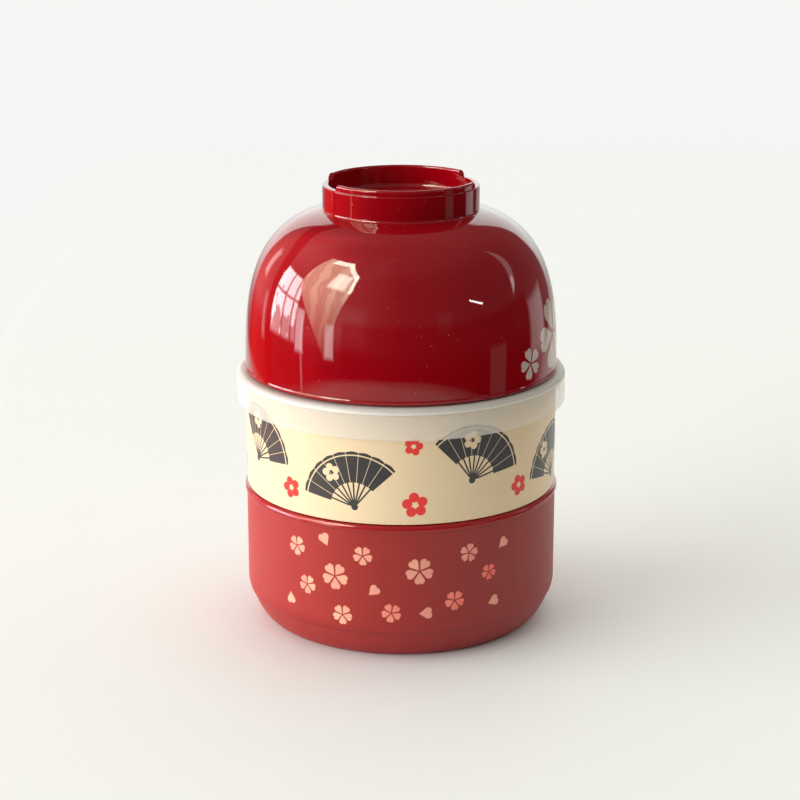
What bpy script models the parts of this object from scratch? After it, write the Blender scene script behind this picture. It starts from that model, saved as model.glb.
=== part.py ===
"""Round two-tier bento box with a soft seal lid and a soup bowl turned over as its cover.

Metres, +Z up. The origin is the centre of the ring that the box rests on. The four pieces are
turned shapes on one axis, and each one lifts straight up off the piece under it.
"""
import math

import bpy

# How round shapes are divided
SEGMENTS = 64
CORNER_STEPS = 2
ROUND_STEPS = 6
LIP_STEPS = 10
FOOT_CURVE_STEPS = 10
DOME_STEPS = 10
SHARP_ANGLE = math.radians(32)
WELD = 0.00001

# Largest share of a wall's thickness that the rounding of one edge takes
ROUND_SHARE = 0.45

# Clearances between pieces
SEAT_GAP = 0.0003
SPIGOT_CLEARANCE = 0.0004
PLUG_CLEARANCE = 0.0004
SKIRT_CLEARANCE = 0.0004
MOUTH_CLEARANCE = 0.0005

# Lower container
BODY_RADIUS = 0.0525
LOWER_HEIGHT = 0.0470
LOWER_WALL = 0.0022
LOWER_FLOOR = 0.0020
LOWER_EDGE_ROUND = 0.0006
LOWER_INNER_ROUND = 0.0110
LIP_OUT = 0.0006
LIP_ROUND = 0.0010
FOOT_INSET = 0.0077
FOOT_CURVE_HEIGHT = 0.0130
FOOT_SIDE_POWER = 1.6
FOOT_BASE_POWER = 1.4
FOOT_RING_WIDTH = 0.0026
FOOT_RECESS = 0.0010
SEAM_HEIGHT = 0.0098
SEAM_STEP = 0.0003

# Upper container
UPPER_INSET = 0.0003
UPPER_HEIGHT = 0.0372
UPPER_WALL = 0.0020
UPPER_FLOOR = 0.0020
UPPER_RIM_ROUND = 0.0007
UPPER_EDGE_ROUND = 0.0005
UPPER_INNER_ROUND = 0.0080
SPIGOT_DEPTH = 0.0040
SPIGOT_ROUND = 0.0012
BEAD_OUT = 0.0010
BEAD_HEIGHT = 0.0028
BEAD_ROUND = 0.0006

# Seal lid
LID_PLATE = 0.0015
LID_WALL = 0.0014
LID_EDGE_ROUND = 0.0006
SKIRT_WALL = 0.0016
SKIRT_DEPTH = 0.0087
SKIRT_TOP_ROUND = 0.0018
SKIRT_EDGE_ROUND = 0.0005
PANEL_DROP = 0.0025
PANEL_THICKNESS = 0.0014
RIB_HEIGHT = 0.0025

# Soup bowl, mouth down
DOME_HEIGHT = 0.0546
DOME_SIDE_POWER = 3.72
DOME_CROWN_POWER = 2.91
BOWL_WALL = 0.0022
BOWL_FLOOR = 0.0026
BOWL_BEAD_OUT = 0.0002
BOWL_BEAD_HEIGHT = 0.0014
BOWL_EDGE_ROUND = 0.0007

# Foot ring on the bowl: a ledge, a raised crest on it and two drain notches through the crest
RING_RADIUS = 0.02595
RING_WALL = 0.00195
RING_HEIGHT = 0.0069
RING_LEDGE = 0.00045
RING_EDGE_ROUND = 0.0003
RING_ROOT_ROUND = 0.0009
RING_FLOOR_RISE = 0.0014
RING_FLOOR_ROUND = 0.0015
CREST_HEIGHT = 0.0020
NOTCH_WIDTH = 0.0225
NOTCH_TURN = math.radians(7.75)
CHANNEL_OVERRUN = 0.0100

# Sizes that follow from the ones above
LOWER_BORE = BODY_RADIUS - LOWER_WALL
UPPER_RADIUS = BODY_RADIUS - UPPER_INSET
UPPER_BORE = UPPER_RADIUS - UPPER_WALL
SPIGOT_RADIUS = LOWER_BORE - SPIGOT_CLEARANCE
BEAD_RADIUS = UPPER_RADIUS + BEAD_OUT
SKIRT_BORE = BEAD_RADIUS + SKIRT_CLEARANCE
LID_RADIUS = SKIRT_BORE + SKIRT_WALL
DOME_RADIUS = UPPER_RADIUS
BOWL_BORE = DOME_RADIUS - BOWL_WALL
BOWL_RIM_RADIUS = DOME_RADIUS + BOWL_BEAD_OUT
PLUG_RADIUS = UPPER_BORE - PLUG_CLEARANCE
RIB_RADIUS = BOWL_BORE - MOUTH_CLEARANCE
LID_BORE = min(PLUG_RADIUS, RIB_RADIUS) - LID_WALL
RING_LEDGE_HEIGHT = DOME_HEIGHT + RING_HEIGHT
RING_CREST_HEIGHT = RING_LEDGE_HEIGHT + CREST_HEIGHT


def arc(r, z, radius, start, end, steps=CORNER_STEPS):
    """Points on a round corner centred at (r, z), between two angles in degrees."""
    points = []
    for step in range(steps + 1):
        angle = math.radians(start + (end - start) * step / steps)
        points.append((r + radius * math.cos(angle), z + radius * math.sin(angle)))
    return points


def superellipse(width, height, side_power, end_power, start, end, steps):
    """Points (r, z) with (r / width) ** side_power + (z / height) ** end_power = 1.

    The parameter is 0 on the axis and 1 at the widest point.
    """
    points = []
    for step in range(steps + 1):
        angle = (start + (end - start) * step / steps) * math.pi / 2
        r = width * math.sin(angle) ** (2 / side_power)
        z = height * max(math.cos(angle), 0.0) ** (2 / end_power)
        points.append((r, z))
    return points


def dome_parameter(radius):
    """Parameter at which the dome's outline has this radius."""
    return math.asin((radius / DOME_RADIUS) ** (DOME_SIDE_POWER / 2)) * 2 / math.pi


def foot_radius(height):
    """Radius of the lower container's curved foot at a height; above the curve, that of the wall."""
    left = max(1 - height / FOOT_CURVE_HEIGHT, 0) ** FOOT_BASE_POWER
    return BODY_RADIUS - FOOT_INSET * (1 - (1 - left) ** (1 / FOOT_SIDE_POWER))


def lower_section():
    """Half section: floor, inner wall, round lip, outer wall, curved foot with a seam, base."""
    floor = FOOT_RECESS + LOWER_FLOOR
    edge = min(LOWER_EDGE_ROUND, LOWER_WALL * ROUND_SHARE)
    lip_r = BODY_RADIUS + LIP_OUT - LIP_ROUND
    lip_z = LOWER_HEIGHT - LIP_ROUND
    lip_drop = math.sqrt(LIP_ROUND ** 2 - max(LIP_ROUND - LIP_OUT, 0) ** 2)
    lip = arc(lip_r, lip_z, LIP_ROUND, 90, -90, LIP_STEPS)
    foot = BODY_RADIUS - FOOT_INSET
    curve = superellipse(FOOT_INSET, FOOT_CURVE_HEIGHT, FOOT_SIDE_POWER, FOOT_BASE_POWER, 1, 0,
                         FOOT_CURVE_STEPS)
    outline = [(foot + r, FOOT_CURVE_HEIGHT - z) for r, z in curve]
    seam_low = SEAM_HEIGHT - SEAM_STEP
    contact = foot - SEAM_STEP
    inner_contact = contact - FOOT_RING_WIDTH
    section = [(0, floor)]
    section += arc(LOWER_BORE - LOWER_INNER_ROUND, floor + LOWER_INNER_ROUND, LOWER_INNER_ROUND, -90, 0,
                   ROUND_STEPS)
    section += arc(LOWER_BORE + edge, LOWER_HEIGHT - edge, edge, 180, 90)
    section += [(r, z) for r, z in lip if z > lip_z - lip_drop and (z > lip_z or r > BODY_RADIUS)]
    section.append((BODY_RADIUS, lip_z - lip_drop))
    section += [(r, z) for r, z in outline if z > SEAM_HEIGHT + SEAM_STEP]
    section.append((foot_radius(SEAM_HEIGHT), SEAM_HEIGHT))
    section.append((foot_radius(SEAM_HEIGHT) - SEAM_STEP, seam_low))
    section += [(r - SEAM_STEP, z) for r, z in outline if z < seam_low - SEAM_STEP]
    section.append((inner_contact, 0))
    section.append((inner_contact - FOOT_RECESS, FOOT_RECESS))
    section.append((0, FOOT_RECESS))
    return section


def upper_section():
    """Half section, with height 0 at the shoulder that rests on the lower container."""
    floor = UPPER_FLOOR - SPIGOT_DEPTH
    rim = min(UPPER_RIM_ROUND, UPPER_WALL * ROUND_SHARE)
    bead = min(BEAD_ROUND, BEAD_OUT)
    section = [(0, floor)]
    section += arc(UPPER_BORE - UPPER_INNER_ROUND, floor + UPPER_INNER_ROUND, UPPER_INNER_ROUND, -90, 0,
                   ROUND_STEPS)
    section += arc(UPPER_BORE + rim, UPPER_HEIGHT - rim, rim, 180, 90)
    section += arc(BEAD_RADIUS - bead, UPPER_HEIGHT - bead, bead, 90, 0)
    section.append((BEAD_RADIUS, UPPER_HEIGHT - BEAD_HEIGHT + BEAD_OUT))
    section.append((UPPER_RADIUS, UPPER_HEIGHT - BEAD_HEIGHT))
    section += arc(UPPER_RADIUS - UPPER_EDGE_ROUND, UPPER_EDGE_ROUND, UPPER_EDGE_ROUND, 0, -90)
    section.append((SPIGOT_RADIUS, 0))
    section += arc(SPIGOT_RADIUS - SPIGOT_ROUND, SPIGOT_ROUND - SPIGOT_DEPTH, SPIGOT_ROUND, 0, -90)
    section.append((0, -SPIGOT_DEPTH))
    return section


def lid_section():
    """Half section, with height 0 at the plate's underside, over the upper container's rim.

    The wall round the sunk panel plugs the container's mouth, and above the plate it goes on as
    the rib that locates the bowl.
    """
    rib_top = LID_PLATE + RIB_HEIGHT
    panel_bottom = -PANEL_DROP - PANEL_THICKNESS
    edge = min(LID_EDGE_ROUND, LID_WALL * ROUND_SHARE)
    hem = min(SKIRT_EDGE_ROUND, SKIRT_WALL * ROUND_SHARE)
    section = [(0, -PANEL_DROP)]
    section += arc(LID_BORE - edge, edge - PANEL_DROP, edge, -90, 0)
    section += arc(LID_BORE + edge, rib_top - edge, edge, 180, 90)
    section += arc(RIB_RADIUS - edge, rib_top - edge, edge, 90, 0)
    section.append((RIB_RADIUS, LID_PLATE))
    section += arc(LID_RADIUS - SKIRT_TOP_ROUND, LID_PLATE - SKIRT_TOP_ROUND, SKIRT_TOP_ROUND, 90, 0,
                   ROUND_STEPS)
    section += arc(LID_RADIUS - hem, hem - SKIRT_DEPTH, hem, 0, -90)
    section += arc(SKIRT_BORE + hem, hem - SKIRT_DEPTH, hem, -90, -180)
    section.append((SKIRT_BORE, 0))
    section.append((PLUG_RADIUS, 0))
    section += arc(PLUG_RADIUS - edge, panel_bottom + edge, edge, 0, -90)
    section.append((0, panel_bottom))
    return section


def ring_section():
    """Foot ring, from the centre of its floor to its root on the dome."""
    bore = RING_RADIUS - RING_WALL
    floor = DOME_HEIGHT + RING_FLOOR_RISE
    nose = (RING_WALL - RING_LEDGE) / 2
    edge = min(RING_EDGE_ROUND, RING_LEDGE)
    root = superellipse(DOME_RADIUS, DOME_HEIGHT, DOME_SIDE_POWER, DOME_CROWN_POWER,
                        dome_parameter(RING_RADIUS + RING_ROOT_ROUND), 1, 1)[0]
    section = [(0, floor)]
    section += arc(bore - RING_FLOOR_ROUND, floor + RING_FLOOR_ROUND, RING_FLOOR_ROUND, -90, 0)
    section += arc(bore + nose, RING_CREST_HEIGHT - nose, nose, 180, 0, ROUND_STEPS)
    section.append((RING_RADIUS - RING_LEDGE, RING_LEDGE_HEIGHT))
    section += arc(RING_RADIUS - edge, RING_LEDGE_HEIGHT - edge, edge, 90, 0)
    section += arc(root[0], root[1] + RING_ROOT_ROUND, RING_ROOT_ROUND, 180, 270)
    return section


def bowl_section():
    """Half section, with height 0 at the mouth's edge, which rests on the seal lid."""
    edge = min(BOWL_EDGE_ROUND, BOWL_WALL * ROUND_SHARE)
    start = dome_parameter(RING_RADIUS + RING_ROOT_ROUND)
    outside = superellipse(DOME_RADIUS, DOME_HEIGHT, DOME_SIDE_POWER, DOME_CROWN_POWER, start, 1,
                           DOME_STEPS)
    inside = superellipse(BOWL_BORE, DOME_HEIGHT - BOWL_FLOOR, DOME_SIDE_POWER, DOME_CROWN_POWER, 1, 0,
                          DOME_STEPS)
    section = ring_section()
    section += [(r, z) for r, z in outside[1:] if z > BOWL_BEAD_HEIGHT + BOWL_BEAD_OUT]
    section.append((DOME_RADIUS, BOWL_BEAD_HEIGHT))
    section.append((BOWL_RIM_RADIUS, BOWL_BEAD_HEIGHT - BOWL_BEAD_OUT))
    section += arc(BOWL_RIM_RADIUS - edge, edge, edge, 0, -90)
    section += arc(BOWL_BORE + edge, edge, edge, -90, -180)
    section += [(r, z) for r, z in inside if z > BOWL_BEAD_HEIGHT]
    return section


def plastic(name, colour, roughness):
    """A plain plastic in one colour."""
    material = bpy.data.materials.new(name)
    material.use_nodes = True
    shader = material.node_tree.nodes["Principled BSDF"]
    shader.inputs["Base Color"].default_value = (*colour, 1)
    shader.inputs["Roughness"].default_value = roughness
    shader.inputs["Metallic"].default_value = 0
    return material


def new_collection(name):
    collection = bpy.data.collections.new(name)
    bpy.context.scene.collection.children.link(collection)
    return collection


def turned(name, section, material, collection):
    """Turn a half section, listed from the axis and down its outer side, about Z."""
    mesh = bpy.data.meshes.new(name)
    edges = [(i, i + 1) for i in range(len(section) - 1)]
    mesh.from_pydata([(r, 0, z) for r, z in section], edges, [])
    mesh.materials.append(material)
    piece = bpy.data.objects.new(name, mesh)
    collection.objects.link(piece)
    screw = piece.modifiers.new("Turn", 'SCREW')
    screw.steps = SEGMENTS
    screw.render_steps = SEGMENTS
    screw.use_merge_vertices = True
    screw.merge_threshold = WELD
    return piece


def seat(piece, carrier, height):
    """Stand a piece on the one that carries it, at a height in that one's own frame."""
    piece.parent = carrier
    piece.location.z = height


def cut_notches(bowl, cutters):
    """Cut one straight channel across the foot ring's crest, which leaves two notches."""
    bpy.ops.mesh.primitive_cube_add(size=1)
    cutter = bpy.context.object
    cutter.name = "notch_cutter"
    cutter.scale = (2 * (RING_RADIUS + CHANNEL_OVERRUN), NOTCH_WIDTH, 2 * CREST_HEIGHT)
    cutter.rotation_euler.z = NOTCH_TURN
    seat(cutter, bowl, RING_CREST_HEIGHT)
    cutter.hide_render = True
    cutter.display_type = 'WIRE'
    for collection in cutter.users_collection:
        collection.objects.unlink(cutter)
    cutters.objects.link(cutter)
    cut = bowl.modifiers.new("Drain notches", 'BOOLEAN')
    cut.operation = 'DIFFERENCE'
    cut.solver = 'EXACT'
    cut.object = cutter


def finish(piece):
    """Apply the modifiers, shade the round faces smooth and keep the crisp edges."""
    evaluated = piece.evaluated_get(bpy.context.evaluated_depsgraph_get())
    mesh = bpy.data.meshes.new_from_object(evaluated)
    mesh.name = piece.name
    piece.modifiers.clear()
    piece.data = mesh
    mesh.shade_smooth()
    mesh.set_sharp_from_angle(angle=SHARP_ANGLE)


def build():
    for old in list(bpy.data.objects):
        bpy.data.objects.remove(old, do_unlink=True)
    box = new_collection("Bento box")
    cutters = new_collection("Cutters")

    satin_red = plastic("Satin red", (0.30, 0.030, 0.026), 0.42)
    cream = plastic("Cream", (0.75, 0.60, 0.38), 0.45)
    milky = plastic("Milky soft plastic", (0.78, 0.74, 0.64), 0.50)
    gloss_red = plastic("Gloss red", (0.33, 0.006, 0.012), 0.06)

    lower = turned("lower_container", lower_section(), satin_red, box)
    upper = turned("upper_container", upper_section(), cream, box)
    lid = turned("seal_lid", lid_section(), milky, box)
    bowl = turned("soup_bowl", bowl_section(), gloss_red, box)

    seat(upper, lower, LOWER_HEIGHT + SEAT_GAP)
    seat(lid, upper, UPPER_HEIGHT + SEAT_GAP)
    seat(bowl, lid, LID_PLATE + SEAT_GAP)
    cut_notches(bowl, cutters)
    for piece in (lower, upper, lid, bowl):
        finish(piece)


build()
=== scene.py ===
"""Looks of the round two-tier bento box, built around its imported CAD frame.

Every piece is a turned moulding on the Z axis. Meshes are in metres and materials measure in
millimetres. Angles are in radians, except where a name or a comment says degrees.
"""
import math

import bpy
import numpy as np
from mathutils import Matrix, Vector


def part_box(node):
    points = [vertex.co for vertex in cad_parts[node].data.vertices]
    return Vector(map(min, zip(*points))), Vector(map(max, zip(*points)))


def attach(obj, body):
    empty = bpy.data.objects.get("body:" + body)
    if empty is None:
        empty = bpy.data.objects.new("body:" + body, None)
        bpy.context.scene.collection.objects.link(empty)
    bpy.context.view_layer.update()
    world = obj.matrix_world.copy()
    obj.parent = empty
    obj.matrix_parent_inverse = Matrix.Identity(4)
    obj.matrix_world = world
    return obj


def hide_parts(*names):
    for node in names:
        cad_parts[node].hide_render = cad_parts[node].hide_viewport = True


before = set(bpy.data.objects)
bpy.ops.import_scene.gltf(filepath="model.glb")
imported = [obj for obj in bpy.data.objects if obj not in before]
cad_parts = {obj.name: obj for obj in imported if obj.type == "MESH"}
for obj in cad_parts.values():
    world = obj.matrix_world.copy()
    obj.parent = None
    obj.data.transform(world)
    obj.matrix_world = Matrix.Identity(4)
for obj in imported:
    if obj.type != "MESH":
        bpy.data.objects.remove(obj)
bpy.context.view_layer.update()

# Camera
# It stands 0.70 m in front of the box and looks down 16 degrees, which is what the edges of the
# box in the photograph give.
IMAGE_SIDE = 800
PRINCIPAL_COLUMN = 401.0
FOCAL_PIXELS = 2149.6
CAMERA_DISTANCE = 0.700
CAMERA_HEIGHT = 0.2740
CAMERA_PITCH = math.radians(15.95)


def add_object(name, data):
    """A new object in the scene, at the origin."""
    made = bpy.data.objects.new(name, data)
    bpy.context.scene.collection.objects.link(made)
    return made


lens = bpy.data.cameras.new("camera")
lens.lens = FOCAL_PIXELS / IMAGE_SIDE * lens.sensor_width
lens.shift_x = 0.5 - PRINCIPAL_COLUMN / IMAGE_SIDE
camera = add_object("camera", lens)
camera.location = (0, -CAMERA_DISTANCE, CAMERA_HEIGHT)
camera.rotation_euler = (math.pi / 2 - CAMERA_PITCH, 0, 0)
bpy.context.scene.camera = camera


# Lower container
# A satin red polypropylene tub with a glossy rounded lip, a curved foot and the thin seam that
# its mould leaves where the foot begins. Pale cherry blossoms are printed on its front.
def arc(r, z, radius, start, end, steps=6):
    """Rows (r, z) of a round corner: the centre plus radius times (cos, sin) of even degrees."""
    angle = np.radians(np.linspace(start, end, steps + 1))
    return np.stack([r + radius * np.cos(angle), z + radius * np.sin(angle)], axis=1)


def superellipse(width, height, side_power, end_power, start, end, steps):
    """Rows (r, z) of (r / width) ** side_power + (z / height) ** end_power = 1.

    The parameter is an angle from the axis: r goes with its sine and z with its cosine.
    """
    angle = np.linspace(start, end, steps + 1)
    r = width * np.sin(angle) ** (2 / side_power)
    z = height * np.clip(np.cos(angle), 0, 1) ** (2 / end_power)
    return np.stack([r, z], axis=1)


# Rows closer than the last digit of a metre kept here are one. A run turns a corner from this
# angle on, and gets its close rows if it is longer than this many times their distance.
MERGE_DIGITS = 7
CORNER_ANGLE = math.radians(3)
SHORTEST_RUN = 4


def outline(*parts, near=0.00015, most=0.0040):
    """Join stretches of rows (r, z), and add rows where a straight run is long.

    The rows are spaced along the length of the outline: one close to each end of a run that turns
    a corner there, so that smooth shading stays flat on the run, and the others at most a few
    millimetres apart.
    """
    rows = np.concatenate([np.atleast_2d(part) for part in parts])
    length = np.hypot(*np.diff(rows, axis=0).T)
    rows = rows[np.concatenate([[True], length > 10 ** -MERGE_DIGITS])]
    step = np.diff(rows, axis=0)
    length = np.hypot(*step.T)
    reach = np.concatenate([[0], np.cumsum(length)])
    way = np.unwrap(np.arctan2(step[:, 1], step[:, 0]))
    corner = np.concatenate([[False], np.abs(np.diff(way)) > CORNER_ANGLE, [False]])
    run = length > SHORTEST_RUN * near
    after = reach[:-1][run & corner[:-1]] + near
    before = reach[1:][run & corner[1:]] - near
    even = [np.linspace(a, b, int((b - a) / most) + 2) for a, b in zip(reach[:-1], reach[1:])]
    places = np.unique(np.round(np.concatenate([reach, after, before, *even]), MERGE_DIGITS))
    return np.stack([np.interp(places, reach, rows[:, k]) for k in (0, 1)], axis=1)


def turn(name, rows, angles, shape=None):
    """Carry an outline round Z and close it with a point at each end on the axis.

    A vertex is (r cos a, r sin a, z) for each row and each angle a. The outline starts and ends on
    the axis and runs down the outside, which makes the faces point outwards. shape(x, y, z) may
    change the heights.
    """
    inner = rows[1:-1]
    count = len(angles)
    x = np.outer(inner[:, 0], np.cos(angles))
    y = np.outer(inner[:, 0], np.sin(angles))
    z = np.repeat(inner[:, 1:], count, axis=1)
    if shape:
        z = shape(x, y, z)
    grid = np.stack([x, y, z], axis=-1).reshape(-1, 3)
    poles = np.array([[0, 0, rows[0, 1]], [0, 0, rows[-1, 1]]])
    points = np.concatenate([grid, poles])
    index = np.arange(len(grid)).reshape(len(inner), count)
    after = np.roll(index, -1, axis=1)
    quads = np.stack([index[:-1], index[1:], after[1:], after[:-1]], axis=-1).reshape(-1, 4)
    pole = np.full(count, len(grid))
    first_cap = np.stack([pole, index[0], after[0]], axis=-1)
    last_cap = np.stack([pole + 1, after[-1], index[-1]], axis=-1)
    mesh = bpy.data.meshes.new(name)
    mesh.from_pydata(points, [], quads.tolist() + first_cap.tolist() + last_cap.tolist())
    mesh.shade_smooth()
    return add_object(name, mesh)


def even_angles(count):
    """Angles all the way round, without the last one, which is the first again."""
    return np.linspace(0, 2 * math.pi, count, endpoint=False)


# Millimetres in a metre, because the materials measure in millimetres
MM = 1000


class Wire:
    """A value in a material's nodes. An operator between wires or numbers adds its Math node."""

    def __init__(self, finish, socket):
        self.finish = finish
        self.socket = socket

    def math(self, operation, *others):
        """A Math node on this value and up to two more."""
        sockets = {0: self, **dict(enumerate(others, 1))}
        return self.finish.node("ShaderNodeMath", {"operation": operation}, sockets)

    def __add__(self, other):
        return self.math("ADD", other)

    def __mul__(self, other):
        return self.math("MULTIPLY", other)

    def __sub__(self, other):
        return self.math("SUBTRACT", other)

    def __rsub__(self, other):
        return self.math("MULTIPLY_ADD", -1, other)

    def __truediv__(self, other):
        return self.math("DIVIDE", other)

    def __neg__(self):
        return self * -1

    def __lt__(self, other):
        return self.math("LESS_THAN", other)

    def __gt__(self, other):
        return self.math("GREATER_THAN", other)

    __radd__ = __add__
    __rmul__ = __mul__

    def least(self, other):
        """The lower of two values."""
        return self.math("MINIMUM", other)

    def most(self, other):
        """The higher of two values."""
        return self.math("MAXIMUM", other)

    def size(self):
        """The value without its sign."""
        return self.math("ABSOLUTE")

    def past(self, start):
        """How far the value is above a number, and 0 below it."""
        return (self - start).most(0.0)

    def short(self, end):
        """How far the value is below a number, and 0 above it."""
        return (end - self).most(0.0)

    def held(self, low=0.0, high=1.0):
        """The value kept between two numbers."""
        return self.most(low).least(high)

    def edge(self, softness):
        """1 where the value is above zero and 0 where it is below, over a short ramp."""
        return (self * (1 / softness) + 0.5).held()


class Finish:
    """A material, made of nodes round its surface shader."""

    def __init__(self, name):
        self.material = bpy.data.materials.new(name)
        self.material.use_nodes = True
        self.tree = self.material.node_tree
        self.shader = self.tree.nodes["Principled BSDF"]

    def node(self, kind, settings=None, sockets=None, output=0):
        """Add a node: its settings first, then the values or links of its sockets."""
        made = self.tree.nodes.new(kind)
        for name, value in (settings or {}).items():
            setattr(made, name, value)
        for name, value in (sockets or {}).items():
            self.put(made.inputs[name], value)
        return Wire(self, made.outputs[output])

    def put(self, socket, value):
        """Link a wire to a socket, or set a number or a colour on it."""
        if isinstance(value, Wire):
            self.tree.links.new(value.socket, socket)
        elif isinstance(value, tuple) and len(value) == 3 and socket.type == "RGBA":
            socket.default_value = (*value, 1)
        else:
            socket.default_value = value

    def set(self, **values):
        """Set the surface shader's own sockets. Underscores in a name stand for blanks."""
        for name, value in values.items():
            self.put(self.shader.inputs[name.replace("_", " ")], value)

    def split(self, vector):
        """x, y and z of a vector."""
        first = self.node("ShaderNodeSeparateXYZ", sockets={0: vector})
        return [Wire(self, output) for output in first.socket.node.outputs]

    def place(self):
        """x, y and z of the surface point in millimetres."""
        spot = self.node("ShaderNodeTexCoord", output="Object")
        return [part * MM for part in self.split(spot)]

    def noise(self, size_mm, detail):
        """Cloudy noise about 0.5 on the surface, with blotches of this size."""
        spot = self.node("ShaderNodeTexCoord", output="Object")
        sockets = {"Vector": spot, "Scale": MM / size_mm, "Detail": detail}
        return self.node("ShaderNodeTexNoise", sockets=sockets)

    def mix(self, factor, first, second):
        """Blend two colours."""
        return self.node("ShaderNodeMix", {"data_type": "RGBA"}, {0: factor, 6: first, 7: second}, output=2)

    def bump(self, height, depth_mm):
        """Raise the surface by height times a depth."""
        return self.node("ShaderNodeBump", sockets={"Height": height, "Distance": depth_mm / MM})

    def paint(self, piece):
        """Give a piece this material alone."""
        piece.data.materials.clear()
        piece.data.materials.append(self.material)


def distance(x, y):
    """Distance of (x, y) from (0, 0)."""
    return (x * x + y * y).math("SQRT")


def unrolled(finish, radius_mm):
    """A round wall laid flat: length round it from the front, to the right, and height."""
    x, y, z = finish.place()
    return x.math("ARCTAN2", -y) * radius_mm, z


def turned_to(u, v, place, height, degrees, size=1.0):
    """Coordinates from a motif's own point, turned with it and measured in its own size."""
    cos = math.cos(math.radians(degrees)) / size
    sin = math.sin(math.radians(degrees)) / size
    du = u - place
    dv = v - height
    return du * cos + dv * sin, dv * cos - du * sin


# A cherry petal, as shares of its length from the flower's centre
PETAL_TIP = 0.09
PETAL_SPREAD = 0.72
PETAL_BELLY = 0.62
LOBE_OUT = 0.140
LOBE_UP = 0.725
LOBE_RADIUS = 0.255
NOTCH_FLOOR = 0.875
NOTCH_SLOPE = 1.5
NOTCH_OFFSET = 0.035
PETAL_SOFTNESS = 0.03
PETAL_ANGLE = 2 * math.pi / 5


def petal(across, along):
    """Where a petal lies: a wedge from its tip that ends in two round lobes with a notch between."""
    side = across.size()
    wedge = ((along - PETAL_TIP) * PETAL_SPREAD - side).least(PETAL_BELLY - along)
    lobe = LOBE_RADIUS - distance(side - LOBE_OUT, along - LOBE_UP)
    notch = (across + NOTCH_OFFSET).size() * NOTCH_SLOPE + NOTCH_FLOOR - along
    return wedge.most(lobe).least(notch).edge(PETAL_SOFTNESS)


# Motifs, as shares of their own size: the circle that holds one, a single petal's middle and
# squeeze, and what each petal of a flower adds to the flower's number
FLOWER_CIRCLE = 1.03
SINGLE_CIRCLE = 0.56
SINGLE_MIDDLE = 0.5
SINGLE_SQUEEZE = 0.9
PETAL_STEP = 0.17


def blossoms(u, v, radius_mm, flowers, petals, slimness):
    """Where a scatter of five-petalled flowers and single petals lies, and each one's own number.

    Each motif adds its own local coordinates inside its circle, and one petal is then drawn for
    all of them, folded into five sectors where the motif is a flower. A flower is (degrees from
    the front, height, radius, turn in degrees) and a petal the same with its length.
    """
    total_x = total_y = single = number = 0.0
    motifs = [(*flower, 0.0, FLOWER_CIRCLE) for flower in flowers]
    motifs += [(*one, 1.0, SINGLE_CIRCLE) for one in petals]
    for count, (place, height, size, turned, alone, circle) in enumerate(motifs, 1):
        across, along = turned_to(u, v, math.radians(place) * radius_mm, height, turned, size)
        inside = across.math("MULTIPLY_ADD", across, along * along) < circle ** 2
        total_x = inside.math("MULTIPLY_ADD", across, total_x)
        total_y = inside.math("MULTIPLY_ADD", along, total_y)
        single = inside.math("MULTIPLY_ADD", alone, single)
        number = inside.math("MULTIPLY_ADD", float(count), number)
    sector = total_x.math("ARCTAN2", total_y) / PETAL_ANGLE
    which = sector.math("ROUND")
    folded = (sector - which) * PETAL_ANGLE
    reach = distance(total_x, total_y)
    flower = 1 - single
    across = folded.math("SINE") * reach * flower + total_x * single * SINGLE_SQUEEZE
    along = folded.math("COSINE") * reach * flower + (total_y + SINGLE_MIDDLE) * single
    shown = petal(across * slimness, along) * (number > 0.5)
    return shown, number + which * flower * PETAL_STEP


lower_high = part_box("lower_container")[1]
LIP_OUT = 0.0006
LIP_ROUND = 0.00135
LIP_TALL = 0.0019
LIP_UNDER = 0.00012
LIP_TAPER_DEGREES = 6
LOWER_RADIUS = lower_high.x - LIP_OUT
LOWER_WALL = 0.0022
LOWER_BORE = LOWER_RADIUS - LOWER_WALL
LOWER_RIM_ROUND = 0.0006
LOWER_FLOOR = 0.0030
LOWER_CORNER = 0.0110
FOOT_INSET = 0.0077
FOOT_HEIGHT = 0.0130
FOOT_POWERS = (1.6, 1.4)
SEAM_HEIGHT = 0.0098
SEAM_DEPTH = 0.0003
SEAM_ROUND = 0.00015
FOOT_RING = 0.0026
FOOT_RECESS = 0.0010
COLUMNS = 288

lower_top = lower_high.z
taper = math.radians(LIP_TAPER_DEGREES)
lip_side = (LIP_TALL - LIP_ROUND * (1 - math.sin(taper))) * math.tan(taper)
lip_r = LOWER_RADIUS + LIP_OUT - lip_side - LIP_ROUND * math.cos(taper)
lip_low_r = LOWER_RADIUS + LIP_OUT - LIP_UNDER
lip_low_z = lower_top - LIP_TALL + LIP_UNDER
foot = superellipse(FOOT_INSET, FOOT_HEIGHT, *FOOT_POWERS, start=math.pi / 2, end=0, steps=60)
foot = np.stack([LOWER_RADIUS - FOOT_INSET + foot[:, 0], FOOT_HEIGHT - foot[:, 1]], axis=1)
foot[:, 0] -= SEAM_DEPTH * np.clip((SEAM_HEIGHT - foot[:, 1]) / SEAM_ROUND + 0.5, 0, 1)
ring_out = LOWER_RADIUS - FOOT_INSET - SEAM_DEPTH
ring_in = ring_out - FOOT_RING
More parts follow.
